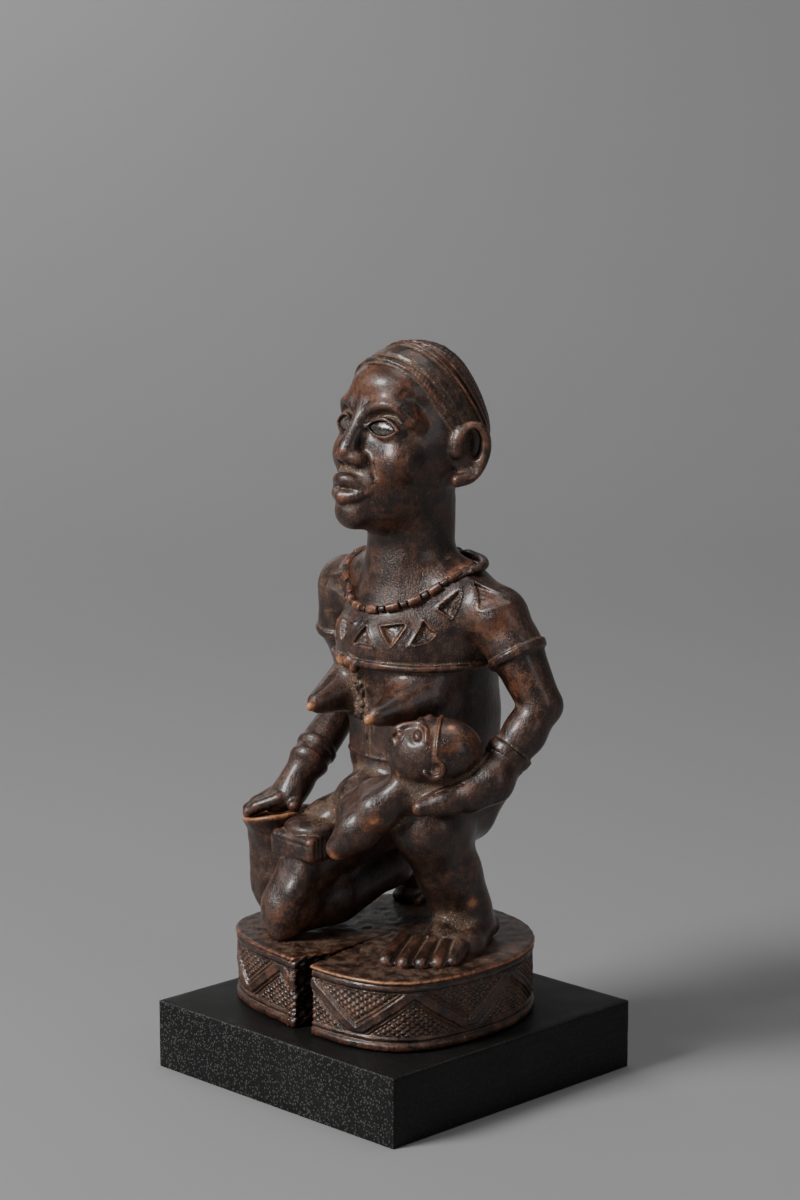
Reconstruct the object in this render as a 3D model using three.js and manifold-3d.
// A kneeling mother with a child across her lap and a flared vessel at her right hand, carved from
// one block of wood with the round base that they stand on. The carving stands on a painted block.
// Frame: millimetres, +Z up, origin under the middle of the block, the mother looks along -Y.
import * as THREE from "three";
import { mergeVertices } from "three/addons/utils/BufferGeometryUtils.js";
import Module from "manifold-3d";

// The painted block
const PLINTH_SIDE = 130;
const PLINTH_HEIGHT = 27;
const PLINTH_EDGE = 1.2;

// The carved base, an oval that is squarer in front than behind
const SEAT_GAP = 0.3;
const BASE_HEIGHT = 27.7;
const BASE_HALF_WIDTH = 57.3;
const BASE_FRONT_REACH = 40.3;
const BASE_BACK_REACH = 63;
const BASE_ASIDE = 1.1;
const BASE_WIDEST_AT = -11.7;
const BASE_FRONT_SQUARENESS = 3;
const BASE_BACK_SQUARENESS = 2.25;
const BASE_TURN = -6;
const BASE_DRAFT = 0.005;
const BASE_SIDES = 40;

// Its mouldings and the zigzag between them
const RIM_HEIGHT = 3.2;
const RIM_DEPTH = 1;
const RIM_EDGE = 0.8;
const ZIGZAG_TURNS = 7;
const ZIGZAG_BAR = 3.4;
const ZIGZAG_DEPTH = 0.85;

// The split that opened in the front of the base
const SPLIT_AT = 2.6;
const SPLIT_MOUTH = 10.4;
const SPLIT_END = [1.2, -12];
const SPLIT_END_WIDTH = 0.8;

// The figure above the base. Its shape is written at a height of 230 from the base's top,
// with the base's top at 55, and is scaled to FIGURE_HEIGHT.
const FIGURE_HEIGHT = 230;
const DRAWN_HEIGHT = 230;
const DRAWN_GROUND = 55;
const FIGURE_CELL = 2.2;
const FIGURE_TRIANGLES = 3700;

// Ornaments
const BEAD_COUNT = 17;
const BEAD_RADIUS = 2.1;
const CORD_RADIUS = 1.7;
const ARMLET_RADIUS = 1.7;
const SCAR_RADIUS = 1.4;
const SCAR_TURNS = 4;

// The glass inlays of the eyes
const INLAY_HALF_LENGTH = 5.6;
const INLAY_HALF_HEIGHT = 2.5;
const INLAY_THICKNESS = 1.4;
const INLAY_CLEARANCE = 0.3;

const WOOD = { color: 0x2e1a12, roughness: 0.42, metalness: 0 };
const PAINT = { color: 0x0c0c0d, roughness: 0.5, metalness: 0 };
const GLASS = { color: 0x8d8478, roughness: 0.15, metalness: 0 };

const BASE_TOP = PLINTH_HEIGHT + SEAT_GAP + BASE_HEIGHT;
const FIGURE_SCALE = FIGURE_HEIGHT / DRAWN_HEIGHT;

const wasm = await Module();
wasm.setup();

// Shapes as signed distances: each function below returns the distance from a point to its shape

function smoothMin(a, b, blend) {
  if (blend <= 0) return Math.min(a, b);
  const h = Math.max(blend - Math.abs(a - b), 0) / blend;
  return Math.min(a, b) - h * h * blend * 0.25;
}

const smoothMax = (a, b, blend) => -smoothMin(-a, -b, blend);

function turn(about = {}) {
  const euler = new THREE.Euler(
    THREE.MathUtils.degToRad(about.x ?? 0),
    THREE.MathUtils.degToRad(about.y ?? 0),
    THREE.MathUtils.degToRad(about.z ?? 0),
    "ZYX",
  );
  return new THREE.Matrix3().setFromMatrix4(new THREE.Matrix4().makeRotationFromEuler(euler));
}

// A ball of radius ra at a joined by straight sides to a ball of radius rb at b
function cone([ax, ay, az, ra], [bx, by, bz, rb]) {
  const dx = bx - ax;
  const dy = by - ay;
  const dz = bz - az;
  const length2 = dx * dx + dy * dy + dz * dz;
  const taper = ra - rb;
  const side2 = length2 - taper * taper;
  return (x, y, z) => {
    const px = x - ax;
    const py = y - ay;
    const pz = z - az;
    const along = px * dx + py * dy + pz * dz;
    const beyond = along - length2;
    const point2 = px * px + py * py + pz * pz;
    const across2 = Math.max((point2 * length2 - along * along) * length2, 0);
    const bend = Math.sign(taper) * taper * taper * across2;
    if (Math.sign(beyond) * side2 * beyond * beyond * length2 > bend) {
      return Math.sqrt(across2 + beyond * beyond * length2) / length2 - rb;
    }
    if (Math.sign(along) * side2 * along * along * length2 < bend) {
      return Math.sqrt(across2 + along * along * length2) / length2 - ra;
    }
    return (Math.sqrt(across2 * side2 / length2) + along * taper) / length2 - ra;
  };
}

function join(blend, ...shapes) {
  return (x, y, z) => {
    let distance = shapes[0](x, y, z);
    for (let i = 1; i < shapes.length; i += 1) {
      distance = smoothMin(distance, shapes[i](x, y, z), blend);
    }
    return distance;
  };
}

function limb(blend, ...points) {
  return join(blend, ...points.slice(1).map((point, i) => cone(points[i], point)));
}

function egg([cx, cy, cz], [rx, ry, rz], rotation = turn()) {
  const m = rotation.elements;
  return (x, y, z) => {
    const dx = x - cx;
    const dy = y - cy;
    const dz = z - cz;
    const u = m[0] * dx + m[1] * dy + m[2] * dz;
    const v = m[3] * dx + m[4] * dy + m[5] * dz;
    const w = m[6] * dx + m[7] * dy + m[8] * dz;
    const [a, b, c] = [u / rx, v / ry, w / rz];
    const near = Math.sqrt(a * a + b * b + c * c);
    const slope = Math.sqrt((a / rx) ** 2 + (b / ry) ** 2 + (c / rz) ** 2);
    return near * (near - 1) / Math.max(slope, 1e-6);
  };
}

function block([cx, cy, cz], [rx, ry, rz], rounding, rotation = turn()) {
  const m = rotation.elements;
  return (x, y, z) => {
    const dx = x - cx;
    const dy = y - cy;
    const dz = z - cz;
    const u = Math.abs(m[0] * dx + m[1] * dy + m[2] * dz) - rx + rounding;
    const v = Math.abs(m[3] * dx + m[4] * dy + m[5] * dz) - ry + rounding;
    const w = Math.abs(m[6] * dx + m[7] * dy + m[8] * dz) - rz + rounding;
    const outside = Math.hypot(Math.max(u, 0), Math.max(v, 0), Math.max(w, 0));
    return outside + Math.min(Math.max(u, v, w), 0) - rounding;
  };
}

const add = (blend, shape) => ({ blend, shape, sign: 1 });
const cut = (blend, shape) => ({ blend, shape, sign: -1 });

function carve(steps) {
  return (x, y, z) => {
    let distance = 1e3;
    for (const { blend, shape, sign } of steps) {
      const next = shape(x, y, z);
      distance = sign > 0 ? smoothMin(distance, next, blend) : smoothMax(distance, -next, blend);
    }
    return distance;
  };
}

const bothSides = (make) => [1, -1].flatMap((side) => make(side));

// The mother

function trunk() {
  return [
    add(0, join(10,
      egg([0.6, 16.6, 141], [30.3, 28.3, 30]),
      egg([0, 14, 166], [33, 26.5, 26]),
      egg([0, 15.5, 122], [28, 26, 20]))),
    add(10, egg([0, 6, 171], [27, 23, 16])),
    add(8, limb(4, [-42.5, 20.5, 183.3, 11.3], [-20, 16, 188.5, 14], [0, 14, 190, 17], [18, 14, 188.5, 14],
      [37, 16, 183, 11.5])),
    add(6, limb(2, [0, 10, 186, 20], [0, 9, 198, 17], [0, 10.2, 222, 16.4])),
    add(6, egg([0.9, 20.9, 114.5], [29, 22, 13.4])),
    ...bothSides((side) => [add(4, egg([side * 15 + 1.2, 27.8, 113], [16, 13.5, 12]))]),
  ];
}

function breasts() {
  return bothSides((side) => [
    add(5, cone([side * 18.2, -2, 151.8, 11.2], [side * 16.5, -24, 147.4, 4.3])),
    add(2, cone([side * 16.5, -24, 148, 3.2], [side * 16, -28.5, 146.3, 1.6])),
  ]);
}

const LEFT_ELBOW = [58.4, 19.9, 151, 7.9];
const LEFT_WRIST = [51.9, 7.4, 131.5, 7.4];
const LEFT_SHOULDER = [40, 16, 182, 11.5];
const LEFT_FOREARM = [55.5, 14, 141, 7.8];
const RIGHT_SHOULDER = [-46.5, 20, 183.5, 11.5];
const RIGHT_FOREARM = [-40.4, 12.9, 136.5, 7.4];
const RIGHT_ELBOW = [-49, 28, 151, 8.6];
const RIGHT_WRIST = [-37.2, -8.5, 120, 7.4];

function arms() {
  return [
    add(4, limb(3, LEFT_SHOULDER, [46.7, 17.2, 172, 10.3], LEFT_ELBOW)),
    add(1.5, limb(3, LEFT_ELBOW, LEFT_FOREARM, LEFT_WRIST)),
    add(4, limb(3, RIGHT_SHOULDER, [-49.2, 21.8, 168, 10.2], RIGHT_ELBOW)),
    add(1.5, limb(3, RIGHT_ELBOW, RIGHT_FOREARM, RIGHT_WRIST)),
  ];
}

// The left hand is a long cupped paddle under the child's head
function leftHand() {
  return [
    add(2, limb(4, [51.9, 7.4, 130.5, 7.6], [53.2, -1.8, 124.5, 7.8], [50.5, -9.5, 120.5, 6],
      [45, -18, 118, 4.6], [41, -25, 115.5, 3.8])),
  ];
}

// The right hand lies palm down on the rim of the vessel
function rightHand() {
  const fingers = [-1.5, -0.5, 0.5, 1.5].map((place) => {
    const swing = THREE.MathUtils.degToRad(-42 - 9 * place);
    const fx = Math.sin(swing);
    const fy = -Math.cos(swing);
    const kx = -43 + Math.cos(swing) * place * 4.3;
    const ky = -18.5 + Math.sin(swing) * place * 4.3;
    return add(1, limb(1, [kx, ky, 105, 3.2], [kx + fx * 9, ky + fy * 9, 101.5, 2.4],
      [kx + fx * 12.5, ky + fy * 12.5, 99, 2.1]));
  });
  return [
    add(2, cone([-37.2, -9.5, 119, 6.8], [-40.5, -16.5, 107.5, 6.6])),
    add(3, egg([-41.5, -17.5, 105.5], [8.5, 10.5, 5.2], turn({ x: 30, z: -25 }))),
    ...fingers,
    add(1, cone([-37, -14, 108, 3.2], [-33, -22, 103, 2.4])),
  ];
}

function leftLeg() {
  const toes = [[27.5, -33, 4.2], [33, -33.5, 3.4], [37.5, -30.5, 3.2], [41, -25.5, 3.1], [43.5, -18.5, 3]];
  return [
    add(6, cone([18.3, 18.3, 105, 14.3], [27, -8, 104, 13.5])),
    add(5, limb(4, [27, -8, 103, 13.5], [26.8, 2.8, 84, 11.8], [28, 10, 68, 11.3])),
    add(3, cone([28, 13, 62, 9.5], [30, 20, 60, 5.5])),
    add(4, limb(3, [28, 10, 64, 10], [33, -8, 60, 9], [35, -18, 57.5, 6.5])),
    ...toes.map(([x, y, r], i) => add(1.2, limb(1, [30 + i * 2.9, -14 + i * 1.5, 58.5, r + 1],
      [x, y + 3, 57.3, r], [x, y, 57, r * 0.9]))),
  ];
}

// The right knee is on the base, with the shin behind it and the foot on its toes
function rightLeg() {
  return [
    add(6, limb(3, [-14, 16, 102, 17], [-19, -12, 93, 14.5], [-22, -24, 84, 11.5], [-26, -35, 67, 10.5])),
    add(4, limb(4, [-25, -34, 65.5, 10.5], [-23, -10, 68, 11.5], [-23, 20, 74, 9], [-24, 31, 73, 6.8])),
    add(3, cone([-24, 33, 70, 6.8], [-26, 40, 60, 6])),
    add(2, egg([-26, 36, 58.5], [6.5, 7, 5])),
  ];
}

function loincloth() {
  return [
    add(3, limb(0, [-5, -10, 112.5, 6], [-14, -17, 102.5, 5], [-19, -22, 99, 3])),
    add(5, egg([0.5, -8, 110], [17.5, 16.3, 11.3])),
  ];
}

function child() {
  return [
    add(3, limb(3, [33, -16, 121, 9], [15, -24, 115, 9.5], [4, -27, 108, 8])),
    add(1.5, egg([38.5, -14, 135.5], [16, 12, 12.5], turn({ y: -8, z: 35 }))),
    add(3, egg([30, -20, 131], [9, 8, 9])),
    add(2, limb(2, [25, -26, 114, 9], [17, -33, 105.5, 8], [9, -38.5, 97.5, 4.8])),
    add(1, block([-20, -27, 91.5], [12, 9.5, 5.5], 3)),
    add(1, egg([-21, -22, 97.5], [13, 12, 4.5])),
  ];
}

// The head, drawn upright about its own middle and then tilted back

const HEAD_AT = [0, 13, 250];
const HEAD_TURN = turn({ x: -11, z: -5 });

function inHead(x, y, z) {
  const p = new THREE.Vector3(x, y, z).applyMatrix3(HEAD_TURN);
  return [p.x + HEAD_AT[0], p.y + HEAD_AT[1], p.z + HEAD_AT[2]];
}

const headLimb = (blend, ...points) => limb(blend, ...points.map(([x, y, z, r]) => [...inHead(x, y, z), r]));
const headEgg = (place, size) => egg(inHead(...place), size, HEAD_TURN);

function skull() {
  return [
    add(0, egg([0, 14, 250], [24.2, 26.8, 25], HEAD_TURN)),
    add(4, egg([0, 11.5, 260], [21.4, 23.8, 23.4], HEAD_TURN)),
    add(4, egg([0, 2.4, 266.2], [18.5, 17, 11.4], HEAD_TURN)),
    add(7, headEgg([0, -7, -11], [21.3, 21.5, 27])),
  ];
}

function face() {
  return [
    add(7, headEgg([0, -18, -30], [13.5, 11, 9.5])),
    add(5, headEgg([0, -26.5, -34], [7, 5.5, 6])),
    add(5, headEgg([0, -22, -22], [12.5, 9.5, 9])),
    ...bothSides((side) => [
      cut(3.5, headEgg([side * 10.8, -32, 0.5], [9, 5.5, 6.2])),
      add(0.8, headEgg([side * 10.5, -22, -1.2], [7.6, 6.2, 5.2])),
      add(3, headLimb(1, [side * 3.5, -26.5, 6, 2.4], [side * 10, -25, 9.5, 2.6],
        [side * 16, -20.5, 7, 2.4], [side * 19, -16.5, 2, 2])),
      add(2, headEgg([side * 5.2, -31.5, -13.8], [3.6, 4.2, 3.2])),
      add(5, headEgg([side * 13.5, -19.5, -12], [8, 7, 8])),
    ]),
    add(2.5, headLimb(1, [0, -27, 6, 3], [0, -30.5, -4, 3], [0, -35, -12.5, 4])),
    cut(0.8, headEgg([0, -32, -25.2], [8.8, 5, 2])),
    ...bothSides((side) => [
      add(1.2, headLimb(0.5, [side * 9.6, -27.5, -24.6, 1.3], [side * 5, -31.8, -22.2, 2.2],
        [0, -33.3, -21.8, 2.2])),
      add(1.2, headLimb(0.5, [side * 9.6, -27.5, -25, 1.3], [side * 5, -31.2, -28, 2.3],
        [0, -32.4, -29, 2.7])),
    ]),
  ];
}

// An ear is a thick rim around a shallow bowl with a deep hollow
function ears() {
  return bothSides((side) => {
    const out = new THREE.Vector3(side * 0.87, -0.5, 0);
    const back = new THREE.Vector3(side * 0.5, 0.87, 0);
    const up = new THREE.Vector3(0, 0.15, 0.99);
    const at = (a, b, d = 0) => new THREE.Vector3(side * 27.2, 12.5, 244)
      .addScaledVector(back, a).addScaledVector(up, b).addScaledVector(out, d).toArray();
    const basis = new THREE.Matrix3().set(
      back.x, out.x, up.x,
      back.y, out.y, up.y,
      back.z, out.z, up.z,
    );
    return [
      add(2.5, egg(at(0, -0.4, -1.5), [6.2, 1.8, 9], basis)),
      add(1, limb(0.8, [...at(-5, 3.8), 1.9], [...at(-3.5, 8, 0.6), 2], [...at(0.8, 9.7, 1), 2.1],
        [...at(4.7, 6.7, 1), 2.1], [...at(6.2, 1.7, 1), 2.1], [...at(5, -3.8, 0.6), 2.1],
        [...at(1.6, -8, 0.4), 2.3], [...at(-3.5, -10.2), 2.6])),
      cut(1, egg(at(0.4, 1.3, 0.5), [3.6, 4, 5.2], basis)),
    ];
  });
}

// The hair is a cap behind a line that runs from the brow to the front of the ears
const HAIR_LINE = { y: -9, z: 280, ny: 0.87, nz: 0.49 };
const HAIR_THICKNESS = 1.5;
const HAIR_EDGE = 0.6;
const HAIR_RIDGE_REACH = 118;
const HAIR_RIDGE_STEPS = 15;
const HAIR_RIDGES = [[2.4, 1.5], [15, 1.2], [18.6, 1.2]];

const SCALP = carve(skull());

function hair() {
  const cap = (x, y, z) => {
    const behind = (y - HAIR_LINE.y) * HAIR_LINE.ny + (z - HAIR_LINE.z) * HAIR_LINE.nz;
    const nape = 230 + 0.3 * (38 - y) - z;
    return smoothMax(SCALP(x, y, z) - HAIR_THICKNESS, Math.max(HAIR_EDGE - behind, nape), 1);
  };
  return [add(0, cap), add(1.5, egg([3, 21.8, 279.6], [2.4, 3, 2.2]))];
}

const BODY_STEPS = [...trunk(), ...arms(), ...breasts()];
const FIGURE = carve([
  ...BODY_STEPS, ...leftLeg(), ...rightLeg(), ...leftHand(), ...rightHand(), ...loincloth(),
  ...child(), ...skull(), ...hair(), ...face(), ...ears(),
]);

// Meshing: the distance is sampled on a grid, and each cell's six tetrahedra give the surface

function faceNormal(a, b, c) {
  const ux = b[0] - a[0];
  const uy = b[1] - a[1];
  const uz = b[2] - a[2];
  const vx = c[0] - a[0];
  const vy = c[1] - a[1];
  const vz = c[2] - a[2];
  return [uy * vz - uz * vy, uz * vx - ux * vz, ux * vy - uy * vx];
}

const SAMPLE_BLOCK = 4;
const CELL_FLOOR = [[0, 0], [1, 0], [1, 1], [0, 1]];
const CELL_CORNERS = [0, 1].flatMap((up) => CELL_FLOOR.map(([right, back]) => [right, back, up]));
const CELL_TETRAHEDRA = [[5, 1], [1, 2], [2, 3], [3, 7], [7, 4], [4, 5]].map(([a, b]) => [0, a, b, 6]);

function meshOf(distance, low, high, cell) {
  const count = low.map((value, i) => Math.ceil((high[i] - value) / cell) + 1);
  const index = (i, j, k) => (k * count[1] + j) * count[0] + i;
  const values = new Float64Array(count[0] * count[1] * count[2]);
  const at = (i, j, k) => distance(low[0] + i * cell, low[1] + j * cell, low[2] + k * cell);
  const far = SAMPLE_BLOCK * cell * 1.5;
  for (let n = 0; n < values.length; n += 1) {
    const i = n % count[0];
    const j = Math.floor(n / count[0]) % count[1];
    const k = Math.floor(n / count[0] / count[1]);
    const [a, b, c] = [i, j, k].map((value) => value - (value % SAMPLE_BLOCK));
    const first = index(a, b, c);
    if (n === first) values[n] = at(a + SAMPLE_BLOCK / 2, b + SAMPLE_BLOCK / 2, c + SAMPLE_BLOCK / 2);
    if (n !== first) values[n] = Math.abs(values[first]) > far ? values[first] : at(i, j, k);
  }
  for (let k = 0; k < count[2]; k += SAMPLE_BLOCK) {
    for (let j = 0; j < count[1]; j += SAMPLE_BLOCK) {
      for (let i = 0; i < count[0]; i += SAMPLE_BLOCK) {
        if (Math.abs(values[index(i, j, k)]) <= far) values[index(i, j, k)] = at(i, j, k);
      }
    }
  }
  const vertices = [];
  const known = new Map();
  const total = values.length;
  const crossing = (a, b) => {
    const key = a < b ? a * total + b : b * total + a;
    if (!known.has(key)) {
      const t = Math.min(Math.max(values[a] / (values[a] - values[b]), 0.02), 0.98);
      const row = (n) => Math.floor(n / count[0]);
      const place = (n) => [n % count[0], row(n) % count[1], Math.floor(row(n) / count[1])];
      const pa = place(a);
      const pb = place(b);
      known.set(key, vertices.length);
      vertices.push(pa.map((value, axis) => low[axis] + cell * (value + t * (pb[axis] - value))));
    }
    return known.get(key);
  };
  const triangles = [];
  for (let k = 0; k < count[2] - 1; k += 1) {
    for (let j = 0; j < count[1] - 1; j += 1) {
      for (let i = 0; i < count[0] - 1; i += 1) {
        const corner = CELL_CORNERS.map(([a, b, c]) => index(i + a, j + b, k + c));
        const inside = corner.filter((n) => values[n] < 0).length;
        if (inside === 0 || inside === 8) continue;
        for (const tetrahedron of CELL_TETRAHEDRA) {
          const solid = tetrahedron.filter((n) => values[corner[n]] < 0);
          const empty = tetrahedron.filter((n) => values[corner[n]] >= 0);
          if (solid.length === 0 || empty.length === 0) continue;
          const edge = (a, b) => crossing(corner[a], corner[b]);
          let ring;
          if (solid.length === 1) ring = empty.map((n) => edge(solid[0], n));
          else if (empty.length === 1) ring = solid.map((n) => edge(n, empty[0]));
          else {
            ring = [edge(solid[0], empty[0]), edge(solid[0], empty[1]), edge(solid[1], empty[1]),
              edge(solid[1], empty[0])];
          }
          const [p, q, r] = ring.map((n) => vertices[n]);
          const outward = CELL_CORNERS[empty[0]].map((value, axis) => value - CELL_CORNERS[solid[0]][axis]);
          const normal = faceNormal(p, q, r);
          if (outward[0] * normal[0] + outward[1] * normal[1] + outward[2] * normal[2] < 0) ring.reverse();
          for (let n = 2; n < ring.length; n += 1) triangles.push([ring[0], ring[n - 1], ring[n]]);
        }
      }
    }
  }
  return { vertices, triangles };
}

// Thins a mesh out by joining the ends of its edges, the edges that matter least first

// A face's squared distance as a quadric, weighted with its area
function planeQuadric(a, b, c) {
  const normal = faceNormal(a, b, c);
  const length = Math.hypot(...normal) || 1;
  const [nx, ny, nz] = normal.map((value) => value / length);
  const d = -(nx * a[0] + ny * a[1] + nz * a[2]);
  return [nx * nx, nx * ny, nx * nz, nx * d, ny * ny, ny * nz, ny * d, nz * nz, nz * d, d * d]
    .map((value) => value * length);
}

function errorAt(q, [x, y, z]) {
  return q[0] * x * x + 2 * q[1] * x * y + 2 * q[2] * x * z + 2 * q[3] * x + q[4] * y * y
    + 2 * q[5] * y * z + 2 * q[6] * y + q[7] * z * z + 2 * q[8] * z + q[9];
}

function bestPlace(q, a, b) {
  const middle = [0, 1, 2].map((axis) => (a[axis] + b[axis]) / 2);
  const choices = [middle, a, b];
  const m = new THREE.Matrix3().set(q[0], q[1], q[2], q[1], q[4], q[5], q[2], q[5], q[7]);
  const scale = q[0] + q[4] + q[7];
  if (Math.abs(m.determinant()) > 1e-4 * scale * scale * scale) {
    const p = new THREE.Vector3(-q[3], -q[6], -q[8]).applyMatrix3(m.invert());
    const far = Math.hypot(a[0] - b[0], a[1] - b[1], a[2] - b[2]);
    if (Math.hypot(p.x - middle[0], p.y - middle[1], p.z - middle[2]) < 1.5 * far) {
      choices.unshift([p.x, p.y, p.z]);
    }
  }
  let best = choices[0];
  for (const choice of choices) if (errorAt(q, choice) < errorAt(q, best) - 1e-9) best = choice;
  return best;
}

class Queue {
  constructor() {
    this.items = [];
  }

  push(item) {
    const { items } = this;
    let n = items.push(item) - 1;
    while (n > 0) {
      const parent = (n - 1) >> 1;
      if (items[parent].cost <= items[n].cost) break;
      [items[parent], items[n]] = [items[n], items[parent]];
      n = parent;
    }
  }

  pop() {
    const { items } = this;
    const first = items[0];
    const last = items.pop();
    if (items.length > 0) {
      items[0] = last;
      let n = 0;
      for (;;) {
        const left = 2 * n + 1;
        if (left >= items.length) break;
        const child = left + 1 < items.length && items[left + 1].cost < items[left].cost ? left + 1 : left;
        if (items[n].cost <= items[child].cost) break;
        [items[child], items[n]] = [items[n], items[child]];
        n = child;
      }
    }
    return first;
  }
}

function thinned({ vertices, triangles }, wanted) {
  const quadrics = vertices.map(() => new Float64Array(10));
  const around = vertices.map(() => new Set());
  const age = vertices.map(() => 0);
  const faces = triangles.map((face) => [...face]);
  faces.forEach((face, n) => {
    const q = planeQuadric(...face.map((v) => vertices[v]));
    for (const v of face) {
      around[v].add(n);
      for (let i = 0; i < 10; i += 1) quadrics[v][i] += q[i];
    }
  });
  const neighbours = (v) => {
    const found = new Set();
    for (const n of around[v]) for (const other of faces[n]) if (other !== v) found.add(other);
    return found;
  };
  const queue = new Queue();
  const offer = (a, b) => {
    const q = quadrics[a].map((value, i) => value + quadrics[b][i]);
    const place = bestPlace(q, vertices[a], vertices[b]);
    const [dx, dy, dz] = vertices[a].map((value, axis) => value - vertices[b][axis]);
    const cost = Math.max(errorAt(q, place), 0) + 1e-4 * (dx * dx + dy * dy + dz * dz);
    queue.push({ cost, a, b, place, ages: age[a] + age[b] });
  };
  vertices.forEach((_, v) => {
    for (const other of neighbours(v)) if (other > v) offer(v, other);
  });
  let left = faces.length;
  while (left > wanted && queue.items.length > 0) {
    const { a, b, place, ages } = queue.pop();
    if (!vertices[a] || !vertices[b] || age[a] + age[b] !== ages) continue;
    const nearA = neighbours(a);
    const nearB = neighbours(b);
    let shared = 0;
    for (const v of nearA) if (nearB.has(v)) shared += 1;
    if (!nearA.has(b) || shared !== 2) continue;
    const keeps = [...around[a], ...around[b]].every((n) => {
      const face = faces[n];
      if (face.includes(a) && face.includes(b)) return true;
      const before = faceNormal(...face.map((v) => vertices[v]));
      const after = faceNormal(...face.map((v) => (v === a || v === b ? place : vertices[v])));
      const dot = before[0] * after[0] + before[1] * after[1] + before[2] * after[2];
      return dot > 0.25 * Math.hypot(...before) * Math.hypot(...after) && Math.hypot(...after) > 1e-3;
    });
    if (!keeps) continue;
    for (const n of [...around[b]]) {
      const face = faces[n];
      if (face.includes(a)) {
        for (const v of face) around[v].delete(n);
        faces[n] = null;
        left -= 1;
      } else {
        face[face.indexOf(b)] = a;
        around[a].add(n);
      }
    }
    for (let i = 0; i < 10; i += 1) quadrics[a][i] += quadrics[b][i];
    vertices[a] = place;
    vertices[b] = null;
    age[a] += 1;
    for (const v of neighbours(a)) offer(a, v);
  }
  return { vertices, triangles: faces.filter((face) => face) };
}

// From geometry to solids and back

function solidOf(geometry) {
  geometry.deleteAttribute("normal");
  geometry.deleteAttribute("uv");
  const merged = mergeVertices(geometry, 1e-4);
  const index = merged.index.array;
  const faces = [];
  for (let i = 0; i < index.length; i += 3) {
    const face = [index[i], index[i + 1], index[i + 2]];
    if (new Set(face).size === 3) faces.push(...face);
  }
  return new wasm.Manifold(new wasm.Mesh({
    numProp: 3,
    vertProperties: Float32Array.from(merged.getAttribute("position").array),
    triVerts: Uint32Array.from(faces),
  }));
}

function geometryFrom(points, triangles) {
  const geometry = new THREE.BufferGeometry();
  geometry.setAttribute("position", new THREE.Float32BufferAttribute(points.flat(), 3));
  geometry.setIndex(triangles.flat());
  return geometry;
}

function geometryOf(solid) {
  const mesh = solid.getMesh();
  const geometry = new THREE.BufferGeometry();
  geometry.setAttribute("position", new THREE.BufferAttribute(Float32Array.from(mesh.vertProperties), 3));
  geometry.setIndex(Array.from(mesh.triVerts));
  geometry.computeVertexNormals();
  return geometry;
}

// From the figure as drawn to its place in the frame
const real = ([x, y, z]) => [x, y, z - DRAWN_GROUND]
  .map((value, axis) => value * FIGURE_SCALE + (axis === 2 ? BASE_TOP : 0));

function figureSolid() {
  const full = meshOf(FIGURE, [-66, -52, 44], [72, 60, 290], FIGURE_CELL);
  const { vertices, triangles } = thinned(full, FIGURE_TRIANGLES);
  const number = new Map();
  const points = [];
  const faces = triangles.map((face) => face.map((v) => {
    if (!number.has(v)) {
      number.set(v, points.length);
      points.push(real(vertices[v]));
    }
    return number.get(v);
  }));
  return solidOf(geometryFrom(points, faces));
}

// The carved base

function baseOutline() {
  const points = [];
  const steps = 720;
  const spin = THREE.MathUtils.degToRad(BASE_TURN);
  for (let i = 0; i < steps; i += 1) {
    const angle = (i / steps) * 2 * Math.PI;
    const c = Math.cos(angle);
    const s = Math.sin(angle);
    const squareness = s < 0 ? BASE_FRONT_SQUARENESS : BASE_BACK_SQUARENESS;
    const reach = s < 0 ? BASE_FRONT_REACH : BASE_BACK_REACH;
    const x = Math.sign(c) * Math.abs(c) ** (2 / squareness) * BASE_HALF_WIDTH + BASE_ASIDE;
    const y = Math.sign(s) * Math.abs(s) ** (2 / squareness) * reach + BASE_WIDEST_AT;
    points.push(new THREE.Vector2(x, y).rotateAround(new THREE.Vector2(0, 0), spin));
  }
  return points;
}

const OUTLINE = baseOutline();
const OUTLINE_LENGTHS = OUTLINE.map((point, i) => point.distanceTo(OUTLINE[(i + 1) % OUTLINE.length]));
const PERIMETER = OUTLINE_LENGTHS.reduce((sum, length) => sum + length, 0);
const RIGHT_LIP = new THREE.Vector2(SPLIT_AT + SPLIT_MOUTH / 2, BASE_WIDEST_AT - BASE_FRONT_REACH);
const FRONT_START = OUTLINE.reduce((best, point, i) => (
  point.distanceTo(RIGHT_LIP) < OUTLINE[best].distanceTo(RIGHT_LIP) ? i : best), 0);

// The point of the base's side that is an arc length on from the split's right lip, at a share of
// the base's height, moved out of the side by lift
function onBaseSide(arc, share, lift) {
  let rest = ((arc % PERIMETER) + PERIMETER) % PERIMETER;
  let i = FRONT_START;
  while (rest > OUTLINE_LENGTHS[i]) {
    rest -= OUTLINE_LENGTHS[i];
    i = (i + 1) % OUTLINE.length;
  }
  const next = OUTLINE[(i + 1) % OUTLINE.length];
  const point = OUTLINE[i].clone().lerp(next, rest / OUTLINE_LENGTHS[i]);
  const along = next.clone().sub(OUTLINE[i]).normalize();
  const draft = 1 - BASE_DRAFT * (1 - share);
  point.multiplyScalar(draft);
  return [point.x + along.y * lift, point.y - along.x * lift, PLINTH_HEIGHT + SEAT_GAP + BASE_HEIGHT * share];
}

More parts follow.
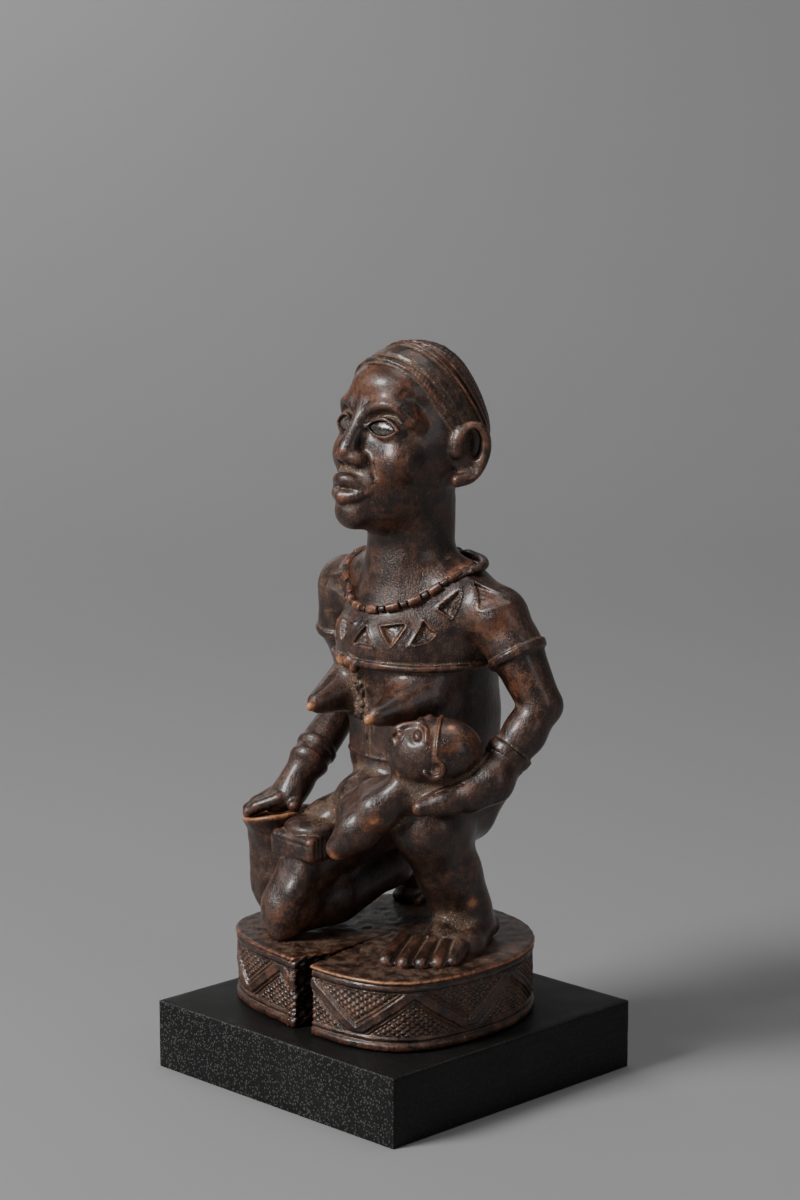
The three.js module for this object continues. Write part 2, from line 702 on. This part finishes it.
// A closed loft through rings of points that run the same way round, low to high
function loft(rings) {
  const sides = rings[0].length;
  const points = rings.flat();
  const triangles = [];
  for (let r = 0; r < rings.length - 1; r += 1) {
    for (let i = 0; i < sides; i += 1) {
      const a = r * sides + i;
      const b = r * sides + ((i + 1) % sides);
      triangles.push([a, b, b + sides], [a, b + sides, a + sides]);
    }
  }
  const top = (rings.length - 1) * sides;
  for (let i = 1; i < sides - 1; i += 1) {
    triangles.push([0, i + 1, i], [top, top + i, top + i + 1]);
  }
  return solidOf(geometryFrom(points, triangles));
}

function baseDrum() {
  const edge = RIM_EDGE / BASE_HEIGHT;
  const rim = RIM_HEIGHT / BASE_HEIGHT;
  const profile = [[0, 0], [rim - edge, 0], [rim, -RIM_DEPTH], [1 - rim, -RIM_DEPTH],
    [1 - rim + edge, 0], [1 - edge, 0], [1, -RIM_EDGE]];
  return loft(profile.map(([share, lift]) => Array.from(
    { length: BASE_SIDES },
    (_, i) => onBaseSide((i / BASE_SIDES) * PERIMETER, share, lift),
  )));
}

// One raised bar of the zigzag, from a place low on the side to one high on it
function zigzagBar(arcFrom, shareFrom, arcTo, shareTo) {
  const steps = 2;
  const slope = new THREE.Vector2(arcTo - arcFrom, (shareTo - shareFrom) * BASE_HEIGHT).normalize();
  const half = ZIGZAG_BAR / 2;
  const rings = [];
  for (let n = 0; n <= steps; n += 1) {
    const arc = THREE.MathUtils.lerp(arcFrom, arcTo, n / steps);
    const share = THREE.MathUtils.lerp(shareFrom, shareTo, n / steps);
    const corner = (side, lift) => onBaseSide(
      arc - side * half * slope.y,
      share + side * half * slope.x / BASE_HEIGHT,
      lift,
    );
    const outer = ZIGZAG_DEPTH - RIM_DEPTH;
    const inner = -RIM_DEPTH - 1;
    rings.push([corner(0.8, outer), corner(-0.8, outer), corner(-1, inner), corner(1, inner)]);
  }
  return loft(rings);
}

function zigzag() {
  const period = (PERIMETER - SPLIT_MOUTH) / (ZIGZAG_TURNS + 0.15);
  const low = (RIM_HEIGHT - 0.5) / BASE_HEIGHT;
  const high = 1 - low;
  const bars = [];
  for (let n = 0; n < ZIGZAG_TURNS; n += 1) {
    const start = n * period - 1;
    bars.push(zigzagBar(start, high, start + period / 2, low));
    bars.push(zigzagBar(start + period / 2, low, start + period, high));
  }
  return bars;
}

function splitSolid() {
  const outline = new THREE.Shape();
  const mouthY = BASE_WIDEST_AT - BASE_FRONT_REACH - 4;
  outline.moveTo(SPLIT_AT - SPLIT_MOUTH / 2, mouthY);
  outline.lineTo(SPLIT_AT + SPLIT_MOUTH / 2, mouthY);
  outline.lineTo(SPLIT_END[0] + SPLIT_END_WIDTH / 2, SPLIT_END[1]);
  outline.lineTo(SPLIT_END[0] - SPLIT_END_WIDTH / 2, SPLIT_END[1]);
  outline.closePath();
  const depth = BASE_HEIGHT + 2;
  const geometry = new THREE.ExtrudeGeometry(outline, { depth, bevelEnabled: false });
  geometry.translate(0, 0, PLINTH_HEIGHT + SEAT_GAP - 1);
  return solidOf(geometry);
}

// The vessel: turned in outline, with a mouth that is oval and leans towards the knee

const VESSEL_AT = [-45, -18];
const VESSEL_OUTSIDE = [[0, 53], [7.5, 53], [7.2, 58], [9.3, 62], [11.6, 67], [12.3, 74], [12.2, 86],
  [13.2, 92], [16, 97], [16.9, 98.6]];
const VESSEL_INSIDE = [[13.9, 98.6], [12.4, 95.4], [9, 93.8], [0, 93.2]];
const VESSEL_FLARE_FROM = 86;

function vesselSolid() {
  const profile = [...VESSEL_OUTSIDE, ...VESSEL_INSIDE].map(([r, z]) => new THREE.Vector2(r, z));
  const geometry = new THREE.LatheGeometry(profile, 18);
  geometry.rotateX(Math.PI / 2);
  const position = geometry.getAttribute("position");
  for (let i = 0; i < position.count; i += 1) {
    const z = position.getZ(i);
    const flare = Math.max(z - VESSEL_FLARE_FROM, 0) / 12;
    const x = position.getX(i) * (1 - 0.14 * flare);
    const y = position.getY(i) * (1 + 0.06 * flare);
    const leaned = z + 0.22 * x * Math.min(flare, 1);
    position.setXYZ(i, ...real([VESSEL_AT[0] + x, VESSEL_AT[1] + y, leaned]));
  }
  return solidOf(geometry);
}

// Ornaments that lie on the skin

const TRUNK = carve(trunk());
const BUST = carve([...trunk(), ...breasts()]);
const ARMS = carve(arms());

// The place on a shape's surface that is met first on the way in towards a centre
function comeIn(distance, centre, direction, from, lift) {
  let far = from;
  let near = 2;
  const at = (r) => centre.map((value, axis) => value + direction[axis] * r);
  for (let r = from; r > 2; r -= 1) {
    if (distance(...at(r)) < lift) {
      near = r;
      break;
    }
    far = r;
  }
  for (let n = 0; n < 12; n += 1) {
    const middle = (near + far) / 2;
    if (distance(...at(middle)) < lift) near = middle;
    else far = middle;
  }
  return at((near + far) / 2);
}

function rod(a, b, radius, sides) {
  const start = new THREE.Vector3(...real(a));
  const end = new THREE.Vector3(...real(b));
  const geometry = new THREE.CylinderGeometry(radius, radius, start.distanceTo(end), sides);
  const way = end.clone().sub(start).normalize();
  geometry.applyQuaternion(new THREE.Quaternion().setFromUnitVectors(new THREE.Vector3(0, 1, 0), way));
  geometry.translate(...start.clone().add(end).multiplyScalar(0.5).toArray());
  return solidOf(geometry);
}

function ringThrough(points, radius, sides) {
  const curve = new THREE.CatmullRomCurve3(points.map((point) => new THREE.Vector3(...real(point))), true);
  return solidOf(new THREE.TubeGeometry(curve, points.length, radius, sides, true));
}

const NECK_MIDDLE = [0, 11.5];
const NECKLACE_LOW = 185;
const NECKLACE_HIGH = 202.5;
const NECKLACE_DIP = 2.4;

function necklacePoint(angle, drop = 0) {
  const direction = new THREE.Vector2(30 * Math.cos(angle), 27 * Math.sin(angle)).normalize();
  const fall = ((1 - Math.sin(angle)) / 2) ** NECKLACE_DIP;
  const z = THREE.MathUtils.lerp(NECKLACE_HIGH, NECKLACE_LOW, fall) - drop;
  return comeIn(TRUNK, [...NECK_MIDDLE, z], [direction.x, direction.y, 0], 46, 0.5);
}

function necklace() {
  const step = (2 * Math.PI) / BEAD_COUNT;
  return Array.from({ length: BEAD_COUNT }, (_, n) => rod(
    necklacePoint((n - 0.36) * step),
    necklacePoint((n + 0.36) * step),
    BEAD_RADIUS,
    5,
  ));
}

const CHEST_CORD_HEIGHT = 164;
const CORD_STEPS = 18;

function chestCord() {
  const points = Array.from({ length: CORD_STEPS }, (_, n) => {
    const angle = (n / CORD_STEPS) * 2 * Math.PI;
    return comeIn(BUST, [0, 14, CHEST_CORD_HEIGHT], [Math.cos(angle), Math.sin(angle), 0], 60, 0);
  });
  return ringThrough(points, CORD_RADIUS, 4);
}

const ARM_RING_STEPS = 10;

// A ring round an arm at a place on its way from one point to another
function armRing(from, to, share, radius) {
  const a = new THREE.Vector3(...from.slice(0, 3));
  const b = new THREE.Vector3(...to.slice(0, 3));
  const centre = a.clone().lerp(b, share);
  const axis = b.sub(a).normalize();
  const across = new THREE.Vector3(0, 1, 0).cross(axis).normalize();
  const other = axis.clone().cross(across);
  const points = Array.from({ length: ARM_RING_STEPS }, (_, n) => {
    const angle = (n / ARM_RING_STEPS) * 2 * Math.PI;
    const direction = across.clone().multiplyScalar(Math.cos(angle)).addScaledVector(other, Math.sin(angle));
    return comeIn(ARMS, centre.toArray(), direction.toArray(), 13, 0);
  });
  return ringThrough(points, radius, 4);
}

// A strand with closed ends runs through points, each given with the way out of the skin there
function strand(places, radius) {
  const points = places.map(({ point }) => new THREE.Vector3(...real(point)));
  return loft(points.map((point, i) => {
    const before = points[Math.max(i - 1, 0)];
    const after = points[Math.min(i + 1, points.length - 1)];
    const along = after.clone().sub(before).normalize();
    const out = new THREE.Vector3(...places[i].out);
    out.addScaledVector(along, -out.dot(along)).normalize();
    const aside = along.clone().cross(out);
    return [out, aside, out.clone().negate(), aside.clone().negate()]
      .map((way) => point.clone().addScaledVector(way, radius).toArray());
  }));
}

// The raised scar lines are a zigzag between the necklace and the cord, from shoulder to shoulder
const SCARS_FROM = -193;
const SCARS_TO = 11;
const SCARS_TOP = 5;
const SCARS_BOTTOM = 15;

function scars() {
  const turns = 2 * SCAR_TURNS;
  const steps = 2 * turns;
  return strand(Array.from({ length: steps + 1 }, (_, n) => {
    const angle = THREE.MathUtils.degToRad(THREE.MathUtils.lerp(SCARS_FROM, SCARS_TO, n / steps));
    const zigzag = THREE.MathUtils.pingpong(n * turns / steps, 1);
    const drop = THREE.MathUtils.lerp(SCARS_TOP, SCARS_BOTTOM, zigzag);
    return { point: necklacePoint(angle, drop), out: [Math.cos(angle), Math.sin(angle), 0.5] };
  }), SCAR_RADIUS);
}

// A ridge of the hair runs over the head at a distance behind the hair's edge
function hairRidge(behind, radius) {
  const across = new THREE.Vector3(1, 0, 0);
  const normal = new THREE.Vector3(0, HAIR_LINE.ny, HAIR_LINE.nz);
  const up = across.clone().cross(normal).negate();
  const middle = new THREE.Vector3(0, 12, 252);
  const edge = normal.dot(new THREE.Vector3(0, HAIR_LINE.y, HAIR_LINE.z));
  middle.addScaledVector(normal, edge + behind - normal.dot(middle));
  return strand(Array.from({ length: HAIR_RIDGE_STEPS }, (_, n) => {
    const angle = THREE.MathUtils.degToRad(HAIR_RIDGE_REACH * (2 * n / (HAIR_RIDGE_STEPS - 1) - 1));
    const direction = up.clone().multiplyScalar(Math.cos(angle)).addScaledVector(across, Math.sin(angle));
    const out = direction.toArray();
    return { point: comeIn(SCALP, middle.toArray(), out, 50, HAIR_THICKNESS - 0.3), out };
  }), radius);
}

// The eyes: an almond rim in the wood round a glass inlay that lies in a pocket

const EYE_AT = [11, -27, -1.2];
const EYE_SWING = 16;
const EYE_RIM = 1.2;
const POCKET_DEPTH = 1.6;

function almond(grow, depth) {
  const length = INLAY_HALF_LENGTH + 1.4 * grow;
  const height = 2 * (INLAY_HALF_HEIGHT + grow);
  const outline = new THREE.Shape();
  outline.moveTo(-length, 0);
  outline.quadraticCurveTo(0, -height, length, 0);
  outline.quadraticCurveTo(0, height, -length, 0);
  const geometry = new THREE.ExtrudeGeometry(outline, { depth, bevelEnabled: false, curveSegments: 5 });
  geometry.rotateX(Math.PI / 2);
  return geometry;
}

// An almond in an eye's place, from a depth behind the eye's plane and with a thickness
function inEye(side, grow, behind, thickness) {
  const geometry = almond(grow, thickness);
  geometry.translate(0, behind, 0);
  geometry.rotateZ(THREE.MathUtils.degToRad(side * EYE_SWING));
  geometry.applyMatrix4(new THREE.Matrix4().setFromMatrix3(HEAD_TURN));
  geometry.scale(FIGURE_SCALE, FIGURE_SCALE, FIGURE_SCALE);
  geometry.translate(...real(inHead(side * EYE_AT[0], EYE_AT[1], EYE_AT[2])));
  return solidOf(geometry);
}

const eyeRim = (side) => inEye(side, EYE_RIM, 4, 4.1);
const eyePocket = (side) => inEye(side, INLAY_CLEARANCE, POCKET_DEPTH, 6);
const eyeInlay = (side) => inEye(side, 0, POCKET_DEPTH - INLAY_CLEARANCE, INLAY_THICKNESS);

// The carving is one block of wood
function carving() {
  const base = wasm.Manifold.union([baseDrum(), ...zigzag()]).subtract(splitSolid());
  const rings = [
    armRing(LEFT_SHOULDER, LEFT_ELBOW, 0.42, ARMLET_RADIUS),
    armRing(RIGHT_SHOULDER, RIGHT_ELBOW, 0.5, ARMLET_RADIUS),
    armRing(LEFT_FOREARM, LEFT_WRIST, 0.72, ARMLET_RADIUS),
    armRing(RIGHT_FOREARM, RIGHT_WRIST, 0.85, ARMLET_RADIUS),
  ];
  return wasm.Manifold.union([
    base, figureSolid(), vesselSolid(), ...necklace(), chestCord(), ...rings, scars(),
    ...bothSides((side) => [eyeRim(side)]), ...HAIR_RIDGES.map((ridge) => hairRidge(...ridge)),
  ]).subtract(wasm.Manifold.union(bothSides((side) => [eyePocket(side)])));
}

// The painted block, with its edges taken off a little
function plinth() {
  const side = PLINTH_SIDE - 2 * PLINTH_EDGE;
  const outline = new THREE.Shape();
  outline.moveTo(-side / 2, -side / 2);
  outline.lineTo(side / 2, -side / 2);
  outline.lineTo(side / 2, side / 2);
  outline.lineTo(-side / 2, side / 2);
  outline.closePath();
  const geometry = new THREE.ExtrudeGeometry(outline, {
    depth: PLINTH_HEIGHT - 2 * PLINTH_EDGE,
    bevelSize: PLINTH_EDGE,
    bevelThickness: PLINTH_EDGE,
    bevelSegments: 1,
  });
  geometry.translate(0, 0, PLINTH_EDGE);
  return solidOf(geometry);
}

const group = new THREE.Group();
group.name = "maternity_figure_on_plinth";

function piece(name, solid, look) {
  const mesh = new THREE.Mesh(geometryOf(solid), new THREE.MeshStandardMaterial(look));
  mesh.name = name;
  group.add(mesh);
}

piece("maternity_figure", carving(), WOOD);
piece("display_plinth", plinth(), PAINT);
piece("eye_inlay_left", eyeInlay(1), GLASS);
piece("eye_inlay_right", eyeInlay(-1), GLASS);

export default group;
